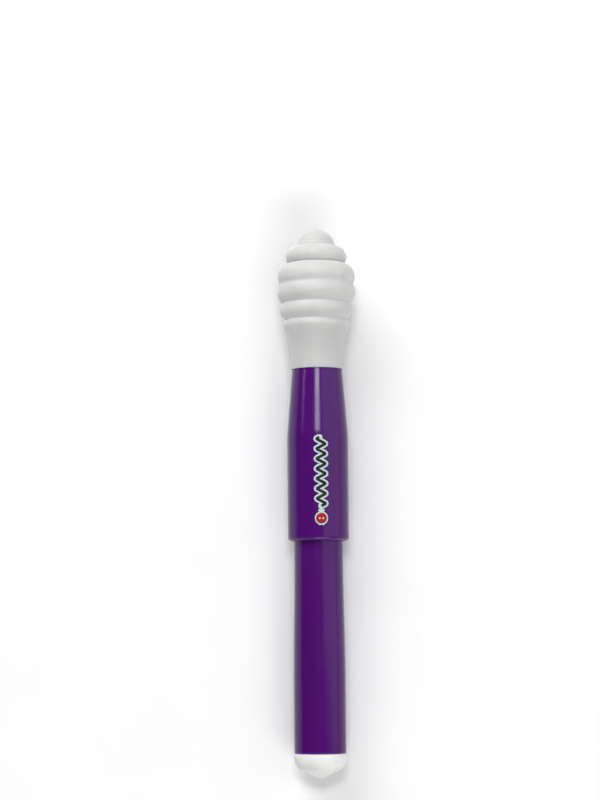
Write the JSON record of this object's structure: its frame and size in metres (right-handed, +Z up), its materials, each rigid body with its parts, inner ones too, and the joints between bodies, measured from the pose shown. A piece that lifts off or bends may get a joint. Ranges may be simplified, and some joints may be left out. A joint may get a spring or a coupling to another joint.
{
  "type": "seam ripper",
  "caption": "Capped seam ripper: waisted barrel with a forked steel blade and safety bead, rubber end plug, and a pull-off cap with a ribbed rubber tip that lifts cut threads.",
  "frame": {"origin": "on the surface that the tool lies on, at the middle of its bounding box", "axes": "+Y along the tool towards the ribbed tip, +Z up, +X to the right seen from above with the tip away. The tool rests on its rear plug and on its widest rib, so its own axis leans up by 1.60 degrees towards the tip, along (0, 0.9996, 0.0279)."},
  "size_m": [0.02, 0.1398, 0.02],
  "materials": {
    "barrel_plastic": "polished violet moulded plastic",
    "plug_rubber": "satin off-white rubber",
    "blade_steel": "bright nickel-plated steel",
    "bead_plastic": "glossy red plastic",
    "cap_plastic": "polished violet moulded plastic",
    "tip_rubber": "satin off-white rubber",
    "label_print": "pale printed film with a black zigzag and a red button"
  },
  "bodies": {
    "handle": {"handle_barrel": "barrel_plastic", "end_plug": "plug_rubber", "ripper_blade": "blade_steel", "safety_ball": "bead_plastic"},
    "cap": {"cap_sleeve": "cap_plastic", "thread_grabber_tip": "tip_rubber", "cap_label": "label_print"}
  },
  "joints": [
    {"name": "cap_pull", "type": "slide", "parent": "handle", "child": "cap", "axis": [0, 0.9996, 0.0279], "range_m": [0, 0.07]}
  ]
}
